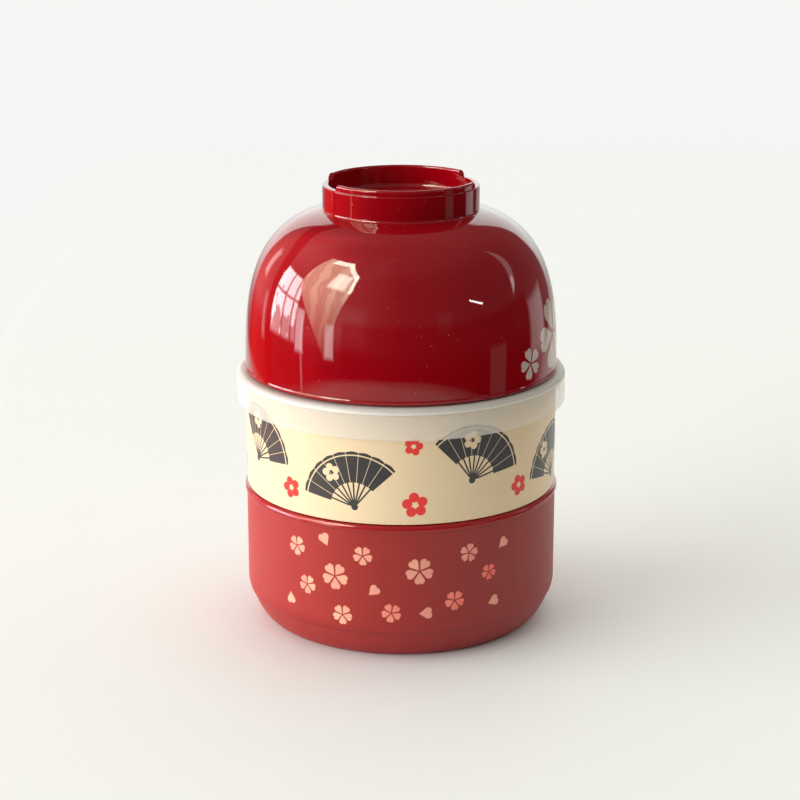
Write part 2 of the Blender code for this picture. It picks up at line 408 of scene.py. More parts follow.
lower_rows = outline(
    (0, LOWER_FLOOR),
    arc(LOWER_BORE - LOWER_CORNER, LOWER_FLOOR + LOWER_CORNER, LOWER_CORNER, -90, 0, steps=24),
    arc(LOWER_BORE + LOWER_RIM_ROUND, lower_top - LOWER_RIM_ROUND, LOWER_RIM_ROUND, 180, 90),
    arc(lip_r, lower_top - LIP_ROUND, LIP_ROUND, 90, LIP_TAPER_DEGREES, steps=12),
    arc(lip_low_r, lip_low_z, LIP_UNDER, LIP_TAPER_DEGREES, -90, steps=4),
    (LOWER_RADIUS, lower_top - LIP_TALL),
    foot,
    (ring_in, 0),
    arc(ring_in - FOOT_RECESS / 2, FOOT_RECESS / 2, FOOT_RECESS / 2, 0, 90, steps=4),
    (0, FOOT_RECESS))
lower_container = turn("red_lower_tub", lower_rows, even_angles(COLUMNS))

# The scatter on the front: degrees from the front, height, radius or length, and turn in degrees.
# The last four flowers are printed in a pink that gets deeper from one to the next.
LOWER_FLOWERS = [
    (-40.1, 36.3, 3.36, -32), (-13.6, 36.5, 3.26, -34), (-24.0, 28.5, 4.56, -33), (-35.5, 23.8, 3.28, -33),
    (-21.2, 15.6, 3.42, -33), (6.5, 31.7, 4.56, -35), (24.7, 36.4, 3.17, -11), (-3.4, 17.4, 3.26, 27),
    (19.3, 20.7, 3.36, -36), (32.9, 28.6, 2.78, -35)]
LOWER_PETALS = [
    (-27.9, 40.3, 4.8, 27), (-43.4, 17.7, 4.4, -175), (-9.9, 24.6, 4.5, -46), (38.9, 37.2, 4.5, -50),
    (8.5, 17.2, 4.8, -87), (34.7, 18.1, 4.6, -73)]
LOWER_SLIMNESS = 1.08
PALE_FLOWERS = 6
BLUSH_STEP = 0.2
SATIN_RED = (0.308, 0.0115, 0.0080)
SATIN_DEEP = (0.288, 0.0090, 0.0066)
BLOSSOM_PEACH = (0.86, 0.42, 0.27)
BLOSSOM_PINK = (0.78, 0.30, 0.22)
BLOSSOM_ROSE = (0.92, 0.095, 0.075)
LIP_RED = (0.330, 0.0035, 0.0060)
SEAM_SHADE_RED = (0.120, 0.0060, 0.0060)
# In millimetres: how far outside the bore the outer face begins, how far down the lip's gloss
# goes and how softly it ends, and half the width and the softness of the painted shade along the seam
OUTER_FACE = 1.0
LIP_GLOSS_TALL = 1.95
LIP_GLOSS_SOFTNESS = 0.08
SEAM_SHADE_HALF = 0.30
SEAM_SHADE_SOFTNESS = 0.35
SEAM_SHADE = 0.45
SATIN_ROUGHNESS = 0.43
SATIN_UNEVENNESS = 0.08
LIP_ROUGHNESS = 0.17
INK_SMOOTHS = 0.6

satin = Finish("satin_red_print")
lower_mm = LOWER_RADIUS * MM
u, v = unrolled(satin, lower_mm)
printed, number = blossoms(u, v, lower_mm, LOWER_FLOWERS, LOWER_PETALS, LOWER_SLIMNESS)
tint = satin.node("ShaderNodeTexWhiteNoise", {"noise_dimensions": "1D"}, {"W": number})
x, y = satin.place()[:2]
printed = printed * (distance(x, y) > LOWER_BORE * MM + OUTER_FACE) * (y < 0)
cloud = satin.noise(size_mm=9.0, detail=3.0)
grain = satin.noise(size_mm=0.16, detail=1.0)
lip = (v - (lower_top * MM - LIP_GLOSS_TALL)).edge(LIP_GLOSS_SOFTNESS)
red = satin.mix(cloud, SATIN_RED, SATIN_DEEP)
red = satin.mix(lip, red, LIP_RED)
# Painted shade: a dark band of colour along the seam stands in for the shade in its crease.
painted_seam_shade = (SEAM_SHADE_HALF - (v - SEAM_HEIGHT * MM).size()).edge(SEAM_SHADE_SOFTNESS)
red = satin.mix(painted_seam_shade * SEAM_SHADE, red, SEAM_SHADE_RED)
blush = ((number - PALE_FLOWERS) * BLUSH_STEP).held() * (number < len(LOWER_FLOWERS) + 0.5)
ink = satin.mix(blush, satin.mix(tint, BLOSSOM_PEACH, BLOSSOM_PINK), BLOSSOM_ROSE)
satin.set(
    Base_Color=satin.mix(printed, red, ink),
    Roughness=(SATIN_ROUGHNESS + cloud * SATIN_UNEVENNESS) * (1 - lip) + lip * LIP_ROUGHNESS,
    Specular_IOR_Level=0.60,
    Normal=satin.bump(grain * (1 - lip) * (1 - printed * INK_SMOOTHS), depth_mm=0.0022))
satin.paint(lower_container)
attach(lower_container, "lower")
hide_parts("lower_container")


# Upper container
# A cream polypropylene tub whose short spigot sits in the lower one's mouth and whose rim bead
# holds the seal lid. A band of black fans and small red plum blossoms is printed round it.
upper_low, upper_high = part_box("upper_container")
BEAD_OUT = 0.0010
BEAD_ROUND = 0.0006
BEAD_HEIGHT = 0.0028
UPPER_RADIUS = upper_high.x - BEAD_OUT
UPPER_WALL = 0.0020
UPPER_BORE = UPPER_RADIUS - UPPER_WALL
UPPER_RIM_ROUND = 0.0007
UPPER_FLOOR = 0.0020
UPPER_CORNER = 0.0080
UPPER_EDGE = 0.0004
SPIGOT_DEPTH = 0.0040
SPIGOT_ROUND = 0.0012
SPIGOT_CLEARANCE = 0.0004

spigot_end = upper_low.z
shoulder = spigot_end + SPIGOT_DEPTH
upper_top = upper_high.z
spigot_r = LOWER_BORE - SPIGOT_CLEARANCE
floor_corner = spigot_end + UPPER_FLOOR + UPPER_CORNER
upper_rows = outline(
    (0, spigot_end + UPPER_FLOOR),
    arc(UPPER_BORE - UPPER_CORNER, floor_corner, UPPER_CORNER, -90, 0, steps=20),
    arc(UPPER_BORE + UPPER_RIM_ROUND, upper_top - UPPER_RIM_ROUND, UPPER_RIM_ROUND, 180, 90),
    arc(UPPER_RADIUS + BEAD_OUT - BEAD_ROUND, upper_top - BEAD_ROUND, BEAD_ROUND, 90, 0),
    (UPPER_RADIUS + BEAD_OUT, upper_top - BEAD_HEIGHT + BEAD_OUT),
    (UPPER_RADIUS, upper_top - BEAD_HEIGHT),
    arc(UPPER_RADIUS - UPPER_EDGE, shoulder + UPPER_EDGE, UPPER_EDGE, 0, -90),
    (spigot_r, shoulder),
    arc(spigot_r - SPIGOT_ROUND, spigot_end + SPIGOT_ROUND, SPIGOT_ROUND, 0, -90),
    (0, spigot_end))
upper_container = turn("cream_upper_tub", upper_rows, even_angles(COLUMNS))

CREAM = (0.84, 0.655, 0.415)
CREAM_WARM = (0.82, 0.632, 0.390)
INK_BLACK = (0.0175, 0.0165, 0.0170)
INK_RED = (0.80, 0.022, 0.014)
CREAM_ROUGHNESS = 0.36
CREAM_UNEVENNESS = 0.06
BLACK_GLOSS = 0.05
BLACK_SMOOTHS = 0.7
# The band repeats four times round the wall. A motif is given in millimetres: across its repeat
# from the middle, height above the table and size, and then its turn in degrees.
REPEATS = 4
BAND_SHIFT = 8.0
FANS = [(-23.0, 52.8, 18.5, 17.0), (15.5, 60.8, 18.5, -20.0)]
PLUM_BLOSSOMS = [(-3.5, 54.0, 4.3, 8.0), (35.0, 55.5, 3.7, 20.0), (-4.0, 73.5, 3.1, -15.0)]
BAND_SOFTNESS = 0.09
BAND_ABOVE_SHOULDER = 0.8
# A fan. Its leaf's inner edge, scalloped hem, trim line and flower are shares of its size. Its
# sticks, lines and rivet are in millimetres.
FAN_SPREAD = math.radians(64)
FAN_PLEATS = 9
LEAF_INNER = 0.44
LEAF_SCALLOP = 0.035
LEAF_TRIM = 0.93
LEAF_FLOWER_OUT = 0.72
LEAF_FLOWER_TURN = -0.35
LEAF_FLOWER_SIZE = 0.17
TRIM_HALF = 0.20
PLEAT_LINE_HALF = 0.08
STICK_HALF = 0.28
STICK_UNDER_LEAF = 0.2
RIVET_RADIUS = 1.15
# A plum blossom, as shares of its radius
PLUM_PETAL_OUT = 0.60
PLUM_PETAL_RADIUS = 0.385
PLUM_CENTRE = 0.20


def plum_blossom(across, along):
    """How far inside a blossom a point is, in shares: five round petals and an open centre."""
    reach = distance(across, along)
    sector = across.math("ARCTAN2", along) / PETAL_ANGLE
    folded = (sector - sector.math("ROUND")) * PETAL_ANGLE
    side = folded.math("SINE") * reach
    out = folded.math("COSINE") * reach - PLUM_PETAL_OUT
    return (PLUM_PETAL_RADIUS - distance(side, out)).least(reach - PLUM_CENTRE)


def fan(across, along, size):
    """How far inside an open fan a point is: a pleated leaf on thin sticks above its rivet."""
    reach = distance(across, along)
    angle = across.math("ARCTAN2", along)
    pleat_angle = 2 * FAN_SPREAD / FAN_PLEATS
    pleat = angle * (1 / pleat_angle) + FAN_PLEATS / 2
    fold = (pleat - pleat.math("FLOOR") - 0.5).size()
    open_side = (FAN_SPREAD - angle.size()) * reach
    hem = size * (1 - LEAF_SCALLOP * fold) - reach
    line = (0.5 - fold) * reach * pleat_angle - PLEAT_LINE_HALF
    trim = (reach - size * LEAF_TRIM).size() - TRIM_HALF
    flower_size = size * LEAF_FLOWER_SIZE
    flower_x = (across - size * LEAF_FLOWER_OUT * math.sin(LEAF_FLOWER_TURN)) * (1 / flower_size)
    flower_y = (along - size * LEAF_FLOWER_OUT * math.cos(LEAF_FLOWER_TURN)) * (1 / flower_size)
    flower = plum_blossom(flower_x, flower_y)
    leaf = hem.least(reach - size * LEAF_INNER).least(open_side).least(line).least(trim)
    leaf = leaf.least(flower * -flower_size)
    stick = STICK_HALF - fold * reach * pleat_angle
    stick = stick.least(size * LEAF_INNER + STICK_UNDER_LEAF - reach).least(open_side)
    return leaf.most(stick).most(RIVET_RADIUS - reach)


def together(areas):
    """Several areas as one, each given as how far inside it a point is."""
    joined = areas[0]
    for area in areas[1:]:
        joined = joined.most(area)
    return joined


band = Finish("cream_print")
upper_mm = UPPER_RADIUS * MM
u, v = unrolled(band, upper_mm)
pitch = 2 * math.pi * upper_mm / REPEATS
cell = (u - BAND_SHIFT) / pitch
u = (cell - cell.math("ROUND")) * pitch
black = together([
    fan(*turned_to(u, v, across, height, degrees), size)
    for across, height, size, degrees in FANS])
scarlet = together([
    plum_blossom(*turned_to(u, v, across, height, degrees, size)) * size
    for across, height, size, degrees in PLUM_BLOSSOMS])
x, y = band.place()[:2]
outer_wall = (distance(x, y) > UPPER_BORE * MM + OUTER_FACE) * (v > shoulder * MM + BAND_ABOVE_SHOULDER)
black = black.edge(BAND_SOFTNESS) * outer_wall
scarlet = scarlet.edge(BAND_SOFTNESS) * outer_wall
cloud = band.noise(size_mm=12.0, detail=3.0)
grain = band.noise(size_mm=0.20, detail=1.0)
cream = band.mix(cloud, CREAM, CREAM_WARM)
cream = band.mix(black, cream, INK_BLACK)
band.set(
    Base_Color=band.mix(scarlet, cream, INK_RED),
    Roughness=CREAM_ROUGHNESS + cloud * CREAM_UNEVENNESS - black * BLACK_GLOSS,
    Specular_IOR_Level=0.70,
    Normal=band.bump(grain * (1 - black * BLACK_SMOOTHS), depth_mm=0.0016))
band.paint(upper_container)
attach(upper_container, "upper")
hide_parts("upper_container")


# Seal lid
# A soft, milky polyethylene lid. Its skirt grips the upper container's bead, its sunk panel plugs
# the mouth, and a rib on top locates the bowl. It lets the print under the skirt show faintly.
lid_low, lid_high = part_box("seal_lid")
PANEL_DROP = 0.0025
PANEL_THICKNESS = 0.0014
LID_PLATE = 0.0015
RIB_HEIGHT = 0.0025
RIB_INSET = 0.0027
LID_WALL = 0.0014
LID_EDGE = 0.0006
SKIRT_WALL = 0.0016
SKIRT_ROUND = 0.0018
HEM_ROUND = 0.0005
PLUG_CLEARANCE = 0.0004

rib_r = UPPER_RADIUS - RIB_INSET
rib_top = lid_high.z
plate_top = rib_top - RIB_HEIGHT
plate = plate_top - LID_PLATE
panel = plate - PANEL_DROP
hem = lid_low.z
skirt_r = lid_high.x
skirt_bore = skirt_r - SKIRT_WALL
rib_bore = rib_r - LID_WALL
plug_r = UPPER_BORE - PLUG_CLEARANCE
lid_rows = outline(
    (0, panel),
    arc(rib_bore - LID_EDGE, panel + LID_EDGE, LID_EDGE, -90, 0),
    arc(rib_bore + LID_EDGE, rib_top - LID_EDGE, LID_EDGE, 180, 90),
    arc(rib_r - LID_EDGE, rib_top - LID_EDGE, LID_EDGE, 90, 0),
    (rib_r, plate_top),
    arc(skirt_r - SKIRT_ROUND, plate_top - SKIRT_ROUND, SKIRT_ROUND, 90, 0, steps=12),
    arc(skirt_r - HEM_ROUND, hem + HEM_ROUND, HEM_ROUND, 0, -90),
    arc(skirt_bore + HEM_ROUND, hem + HEM_ROUND, HEM_ROUND, -90, -180),
    (skirt_bore, plate),
    (plug_r, plate),
    arc(plug_r - LID_EDGE, panel - PANEL_THICKNESS + LID_EDGE, LID_EDGE, 0, -90),
    (0, panel - PANEL_THICKNESS))
seal_lid = turn("milky_seal_lid", lid_rows, even_angles(COLUMNS))

MILKY = (0.93, 0.890, 0.81)
MILKY_CLOUD = (0.915, 0.870, 0.785)
MILKY_PAINTED_SHADE = (0.57, 0.55, 0.50)
MILKY_ROUGHNESS = 0.42
MILKY_UNEVENNESS = 0.08
SKIRT_CLEARNESS = 0.66
# In millimetres: how far below the plate, and inside the skirt's bore, the clear part begins, and
# how far above the plate's underside the painted shade on the lid's top begins, and how softly
SKIRT_BELOW = 0.2
SKIRT_INSIDE = 0.3
TOP_SHADE_ABOVE = 0.2
TOP_SHADE_SOFTNESS = 1.2

milky = Finish("milky_plastic")
cloud = milky.noise(size_mm=14.0, detail=3.0)
grain = milky.noise(size_mm=0.35, detail=2.0)
x, y, z = milky.place()
on_skirt = (z < plate * MM - SKIRT_BELOW) * (distance(x, y) > skirt_bore * MM - SKIRT_INSIDE)
# Painted shade: the top of the lid and its round edge are coloured darker than the skirt, for the shade under
# the bowl.
painted_top_shade = (z - (plate * MM + TOP_SHADE_ABOVE)).edge(TOP_SHADE_SOFTNESS)
milky.set(
    Base_Color=milky.mix(painted_top_shade, milky.mix(cloud, MILKY, MILKY_CLOUD), MILKY_PAINTED_SHADE),
    Roughness=MILKY_ROUGHNESS + cloud * MILKY_UNEVENNESS,
    Subsurface_Weight=0.15,
    Subsurface_Radius=(1.0, 0.85, 0.65),
    Subsurface_Scale=0.0012,
    Alpha=1 - on_skirt * SKIRT_CLEARNESS,
    Normal=milky.bump(grain, depth_mm=0.0030))
milky.paint(seal_lid)
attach(seal_lid, "lid")
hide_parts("seal_lid")


# Soup bowl
# A red bowl with a high-gloss lacquer coat, turned over as the cover. Its foot ring has a ledge,
# a raised crest and two drain notches, and cherry blossoms are printed on its right side.
bowl_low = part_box("soup_bowl")[0]
BOWL_RADIUS = UPPER_RADIUS
BOWL_WALL = 0.0022
BOWL_BORE = BOWL_RADIUS - BOWL_WALL
BOWL_FLOOR = 0.0026
DOME_HEIGHT = 0.0546
DOME_POWERS = (3.72, 2.91)
BOWL_BEAD = 0.0002
BOWL_BEAD_HEIGHT = 0.0014
BOWL_EDGE = 0.0007
RING_RADIUS = 0.02595
RING_WALL = 0.00195
RING_HEIGHT = 0.0069
RING_LEDGE = 0.00045
RING_EDGE = 0.0003
RING_ROOT = 0.0009
RING_FLOOR_RISE = 0.0014
RING_FLOOR_ROUND = 0.0015
CREST_HEIGHT = 0.0020
CREST_FOOT = 0.0001
CREST_LEFT = 0.02
NOTCH_WIDTH = 0.0225
NOTCH_TURN = math.radians(7.75)
NOTCH_ROUND = 0.0007
# Columns of the bowl: even ones, and more of them at each end of a notch, in degrees
BOWL_COLUMNS = 216
NOTCH_COLUMNS_FROM = -2.5
NOTCH_COLUMNS_TO = 4.5
NOTCH_COLUMN_STEP = 0.25
ANGLE_DIGITS = 4

mouth = bowl_low.z
apex = mouth + DOME_HEIGHT
ledge = apex + RING_HEIGHT
crest = ledge + CREST_HEIGHT
crest_r = RING_RADIUS - RING_LEDGE
ring_floor = apex + RING_FLOOR_RISE
ring_bore = RING_RADIUS - RING_WALL
nose = (RING_WALL - RING_LEDGE) / 2
root_r = RING_RADIUS + RING_ROOT
dome_start = math.asin((root_r / BOWL_RADIUS) ** (DOME_POWERS[0] / 2))
dome = superellipse(BOWL_RADIUS, DOME_HEIGHT, *DOME_POWERS, start=dome_start, end=math.pi / 2, steps=90)
dome += (0, mouth)
hollow = superellipse(BOWL_BORE, DOME_HEIGHT - BOWL_FLOOR, *DOME_POWERS, start=math.pi / 2, end=0, steps=60)
hollow += (0, mouth)
root_z = dome[0, 1] + RING_ROOT
bead_z = mouth + BOWL_BEAD_HEIGHT
bowl_rows = outline(
    (0, ring_floor),
    arc(ring_bore - RING_FLOOR_ROUND, ring_floor + RING_FLOOR_ROUND, RING_FLOOR_ROUND, -90, 0, steps=10),
    (ring_bore, ledge),
    arc(ring_bore + nose, crest - nose, nose, 180, 0, steps=16),
    (crest_r, ledge + CREST_FOOT),
    (crest_r, ledge),
    arc(RING_RADIUS - RING_EDGE, ledge - RING_EDGE, RING_EDGE, 90, 0),
    arc(root_r, root_z, RING_ROOT, 180, 270, steps=10),
    dome[dome[:, 1] > bead_z + BOWL_BEAD],
    (BOWL_RADIUS, bead_z + BOWL_BEAD),
    (BOWL_RADIUS + BOWL_BEAD, bead_z - BOWL_BEAD),
    arc(BOWL_RADIUS + BOWL_BEAD - BOWL_EDGE, mouth + BOWL_EDGE, BOWL_EDGE, 0, -90),
    arc(BOWL_BORE + BOWL_EDGE, mouth + BOWL_EDGE, BOWL_EDGE, -90, -180),
    hollow[hollow[:, 1] > bead_z],
    near=0.0001)


def notched(x, y, z):
    """Sink the crest to the ledge inside the straight channel, with a rounded end on each side.

    The share of the crest that stays is a quarter circle of the distance past the channel's edge.
    """
    across = np.abs(y * math.cos(NOTCH_TURN) - x * math.sin(NOTCH_TURN))
    past = np.clip((across - NOTCH_WIDTH / 2) / NOTCH_ROUND, 0, 1)
    stays = CREST_LEFT + (1 - CREST_LEFT) * np.sqrt(1 - (1 - past) ** 2)
    return np.where(z > ledge, ledge + (z - ledge) * stays, z)


notch_edge = math.asin(NOTCH_WIDTH / 2 / (RING_RADIUS - RING_WALL / 2))
notch_ends = ((notch_edge, 1), (-notch_edge, -1), (math.pi - notch_edge, -1), (math.pi + notch_edge, 1))
past_end = np.radians(np.arange(NOTCH_COLUMNS_FROM, NOTCH_COLUMNS_TO, NOTCH_COLUMN_STEP))
close = np.concatenate([end + past_end * sign for end, sign in notch_ends])
close = (close + NOTCH_TURN) % (2 * math.pi)
bowl_angles = np.unique(np.round(np.concatenate([even_angles(BOWL_COLUMNS), close]), ANGLE_DIGITS))
soup_bowl = turn("gloss_soup_bowl", bowl_rows, bowl_angles, notched)

# The blossoms on the bowl: degrees from the front, height, radius or length, and turn in degrees
BOWL_FLOWERS = [
    (53.4, 95.0, 5.4, 22), (73.5, 101.4, 12.0, 22), (101.0, 96.5, 6.2, -12), (99.0, 117.0, 5.0, 5)]
BOWL_PETALS = [(86.0, 119.0, 5.2, -25), (114.0, 108.5, 5.4, 40)]
BOWL_SLIMNESS = 1.18
# Where the blossoms are, the dome's outer face is less than this many millimetres narrower than
# the bore at the mouth
BOWL_PRINT_INSIDE_BORE = 6.0
LACQUER_RED = (0.272, 0.0008, 0.0050)
LACQUER_DEEP = (0.256, 0.0006, 0.0044)
BOWL_BLOSSOM = (0.52, 0.44, 0.39)
DUST_PALE = (0.6, 0.5, 0.5)
DUST_FROM = 0.868
DUST_SOFTNESS = 0.03
DUST_SHOWS = 0.35
DUST_ROUGHNESS = 0.2
LACQUER_ROUGHNESS = 0.022
LACQUER_UNEVENNESS = 0.02

lacquer = Finish("gloss_red_lacquer")
bowl_mm = BOWL_RADIUS * MM
u, v = unrolled(lacquer, bowl_mm)
printed = blossoms(u, v, bowl_mm, BOWL_FLOWERS, BOWL_PETALS, BOWL_SLIMNESS)[0]
x, y = lacquer.place()[:2]
printed = printed * (x > 0) * (distance(x, y) > BOWL_BORE * MM - BOWL_PRINT_INSIDE_BORE)
cloud = lacquer.noise(size_mm=22.0, detail=2.0)
waves = lacquer.noise(size_mm=7.0, detail=1.0)
specks = lacquer.noise(size_mm=0.60, detail=0.0)
dust = (specks - DUST_FROM).edge(DUST_SOFTNESS)
red = lacquer.mix(cloud, LACQUER_RED, LACQUER_DEEP)
red = lacquer.mix(printed, red, BOWL_BLOSSOM)
lacquer.set(
    Base_Color=lacquer.mix(dust * DUST_SHOWS, red, DUST_PALE),
    Roughness=LACQUER_ROUGHNESS + cloud * LACQUER_UNEVENNESS + dust * DUST_ROUGHNESS,
    Normal=lacquer.bump(waves, depth_mm=0.010))
lacquer.paint(soup_bowl)
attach(soup_bowl, "bowl")
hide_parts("soup_bowl")


# Studio
# A sheet of white board that fades out into the pale backdrop, one large soft light from the left,
# and a dim room whose windows, ceiling and far wall show in the gloss.
BOARD_REACH = 2.2
BOARD_POINTS = 96
BOARD_FRONT = 0.40
BOARD_LEFT = 0.31
BOARD_RIGHT = 0.25
BOARD_LEFT_LEAN = 0.30
BOARD_LEFT_LEANS_FOR = 0.35
BOARD_RIGHT_LEAN = 0.35
BOARD_CORNER = 0.26
BOARD_EDGE = 0.06
BOARD_FADE_FROM = 0.15
BOARD_FADE_TO = 1.20
BOARD_WHITE = (0.83, 0.863, 0.85)
BOARD_UNEVENNESS = 0.985
BOARD_SHADE = tuple(BOARD_UNEVENNESS * part for part in BOARD_WHITE)
BACKDROP = (0.915, 0.925, 0.905)

board_angles = even_angles(BOARD_POINTS)
board_rim = np.stack([np.cos(board_angles), np.sin(board_angles), 0 * board_angles], axis=1) * BOARD_REACH
board_mesh = bpy.data.meshes.new("board")
board_mesh.from_pydata(board_rim, [], [list(range(BOARD_POINTS))])
board = add_object("board", board_mesh)

# The sheet's outline is a rectangle with round corners, whose sides lean to the right behind the
# box. There it fades out by a smooth step, 3 d^2 - 2 d^3 of the share d that is left. In metres.
white = Finish("white_board")
x, y = [part * (1 / MM) for part in white.place()[:2]]
behind = y.past(0.0)
from_left = x + BOARD_LEFT - behind.least(BOARD_LEFT_LEANS_FOR) * BOARD_LEFT_LEAN
from_right = BOARD_RIGHT - x + behind * BOARD_RIGHT_LEAN
past_side = from_left.least(from_right).short(BOARD_CORNER)
past_front = (y + BOARD_FRONT).short(BOARD_CORNER)
inside = BOARD_CORNER - distance(past_side, past_front)
rim = (inside * (1 / BOARD_EDGE) + 1).held()
depth = ((BOARD_FADE_TO - y) * (1 / (BOARD_FADE_TO - BOARD_FADE_FROM))).held()
white.set(
    Base_Color=white.mix(white.noise(size_mm=60.0, detail=2.0), BOARD_WHITE, BOARD_SHADE),
    Roughness=0.60,
    Specular_IOR_Level=0.25,
    Alpha=rim * (depth * depth * (3 - 2 * depth)))
white.paint(board)


class Room(Finish):
    """The world's nodes, made in the same way as a material's."""

    def __init__(self, tree):
        self.tree = tree

    def cloud(self, scale):
        """Cloudy noise about 0.5 that changes with direction."""
        return self.node("ShaderNodeTexNoise", sockets={"Scale": scale, "Detail": 2.0})

    def glow(self, colour, level):
        """Light of one colour at a level that may change with direction."""
        return self.node("ShaderNodeBackground", sockets={"Color": colour, "Strength": level})


world = bpy.data.worlds.new("room")
bpy.context.scene.world = world
world.use_nodes = True
room = Room(world.node_tree)
side, back, up = room.split(room.node("ShaderNodeTexCoord", output="Generated"))
bearing = side.math("ARCTAN2", -back) * math.degrees(1)
height = up.math("ARCSINE") * math.degrees(1)
# The camera sees the backdrop, gloss mirrors the room, and all else gets the soft light
seen = room.node("ShaderNodeLightPath", output="Is Camera Ray")
mirrored = room.node("ShaderNodeLightPath", output="Is Glossy Ray") * (1 - seen)
spread = (1 - mirrored) * (1 - seen)


def pane(left, right, low, high, softness, slant=0.0):
    """1 inside a patch of the room, in degrees of bearing from the front and of height.

    The sides lean to the right by slant degrees for each degree of height.
    """
    leant = bearing - height * slant
    sides = (leant - left).least(right - leant)
    ends = (height - low).least(high - height)
    return sides.least(ends).edge(softness)


def patches(rows):
    """The sum of soft patches, each (left, right, low, high, softness, level)."""
    return sum(pane(*bounds) * level for *bounds, level in rows)


# What the gloss shows, all in degrees: a window with bars at the left, a gathered curtain beside
# it whose folds fan out from a point below
GATHER_BEARING = -66
GATHER_HEIGHT = -34
CLOTH_SCALE = 3.0
FOLD_RATE = 0.42
FOLD_UNEVENNESS = 9
CREASE_HALF = 0.14
CREASE_SOFTNESS = 0.16
CURTAIN_LEFT = -88.5
CURTAIN_LEFT_BEND = 20
CURTAIN_LEFT_LEAN = 1.05
CURTAIN_RIGHT = -41
CURTAIN_RIGHT_BEND = 30
CURTAIN_RIGHT_LEAN = 0.36
CURTAIN_PEAK_BEARING = -60
CURTAIN_PEAK = 58
CURTAIN_FALL_RIGHT = 0.70
CURTAIN_FALL_LEFT = 0.19
CURTAIN_LOW = -9
CURTAIN_SOFTNESS = 1.2
CURTAIN_DIM_FROM = -13
CURTAIN_DIM_OVER = 36
CURTAIN_DIMMEST = 0.17
SUN_PANE = (-70, -54, 28, 43, 3, 0.2)
SUN_PANE_LEVEL = 0.9
SUN_TOP_HEM = 5
SUN_TOP_FROM = -80
SUN_SIDE_HEM = 3
SUN_SIDE_FROM = 27

gather = (bearing - GATHER_BEARING).math("ARCTAN2", height - GATHER_HEIGHT) * math.degrees(1)
wave = (gather * FOLD_RATE + room.cloud(CLOTH_SCALE) * FOLD_UNEVENNESS).math("SINE")
folds = wave * 0.5 + 0.5
creases = (CREASE_HALF - wave.size()).edge(CREASE_SOFTNESS)
left_hem = bearing - CURTAIN_LEFT - height.short(CURTAIN_LEFT_BEND) * CURTAIN_LEFT_LEAN
right_hem = CURTAIN_RIGHT - bearing - height.short(CURTAIN_RIGHT_BEND) * CURTAIN_RIGHT_LEAN
top_hem = CURTAIN_PEAK - height - bearing.past(CURTAIN_PEAK_BEARING) * CURTAIN_FALL_RIGHT
top_hem = top_hem - bearing.short(CURTAIN_PEAK_BEARING) * CURTAIN_FALL_LEFT
curtain = left_hem.least(right_hem).least(top_hem).least(height - CURTAIN_LOW).edge(CURTAIN_SOFTNESS)
curtain = curtain * ((height - CURTAIN_DIM_FROM) * (1 / CURTAIN_DIM_OVER)).held(CURTAIN_DIMMEST)
sun = pane(*SUN_PANE) * SUN_PANE_LEVEL
sun = sun + (top_hem < SUN_TOP_HEM) * (bearing > SUN_TOP_FROM)
sun = sun + (right_hem < SUN_SIDE_HEM) * (height > SUN_SIDE_FROM)

# The window, with what stands outside it as a broken brightness, and two slits of the same light
# at the foot of the curtain
WINDOW = (-111, -84, -7, 24, 1.5)
BAR_HEIGHT = 9.5
BAR_BEARINGS = (-98, -88.5)
BAR_HALF = 0.8
BAR_SOFTNESS = 1.2
BAR_LEVEL = 0.15
OUTSIDE_SCALE = 11.0
OUTSIDE_DARK = 0.38
OUTSIDE_MIDDLE = 2
OUTSIDE_RISE = 0.02
OUTSIDE_CONTRAST = 6
OUTSIDE_DARKEST = 0.25
SLITS = [(-83, -76, -9, 7, 1.5, 1.0), (-57, -50, -9, 4, 1.5, 1.0)]

bars = (height - BAR_HEIGHT).size()
for bar in BAR_BEARINGS:
    bars = bars.least((bearing - bar).size())
bars = BAR_LEVEL + (1 - BAR_LEVEL) * (bars - BAR_HALF).edge(BAR_SOFTNESS)
outside = room.cloud(OUTSIDE_SCALE) - OUTSIDE_DARK + (height - OUTSIDE_MIDDLE) * OUTSIDE_RISE
outside = (outside * OUTSIDE_CONTRAST).held(OUTSIDE_DARKEST)
window = pane(*WINDOW) * (1 - curtain) * bars * outside
slits = patches(SLITS) * (1 - curtain)

# The room's own walls: dim, darker below the horizon, lit in patches, with a curved dark beam at
# the far left, a lit ceiling, and dark furniture that stands to just above the horizon
WALL_FROM = -8
WALL_SOFTNESS = 8
WALL_LEVEL = 0.13
FLOOR_LEVEL = 0.04
LIT_FROM = -5
LIT_SOFTNESS = 5
LIT_PATCHES = [
    (-150, -20, -25, 62, 36, 0.32), (-126, -88, 28, 54, 14, 0.28), (-50, -27, -2, 16, 8, 0.42),
    (-21, -13, -13, -5, 2, 0.20), (27, 38, 2, 14, 3, 0.15)]
CEILING_FROM = 50
CEILING_SOFTNESS = 24
CEILING_LEVEL = 0.12
BEAM_FROM = -150
BEAM_WIDE = 37
BEAM_TALL = 36.5
BEAM_POWER = 3.0
BEAM_PLACE = 0.98
BEAM_HALF = 0.13
BEAM_SOFTNESS = 0.05
BEAM_TO = -98
BEAM_TO_SOFTNESS = 8
BEAM_DARKNESS = 0.75
FURNITURE_TOP = 7
FURNITURE_TOP_SOFTNESS = 4
FURNITURE_LEFT = -44
FURNITURE_LEFT_SOFTNESS = 3
FURNITURE_RIGHT = 108
FURNITURE_DARKNESS = 0.6

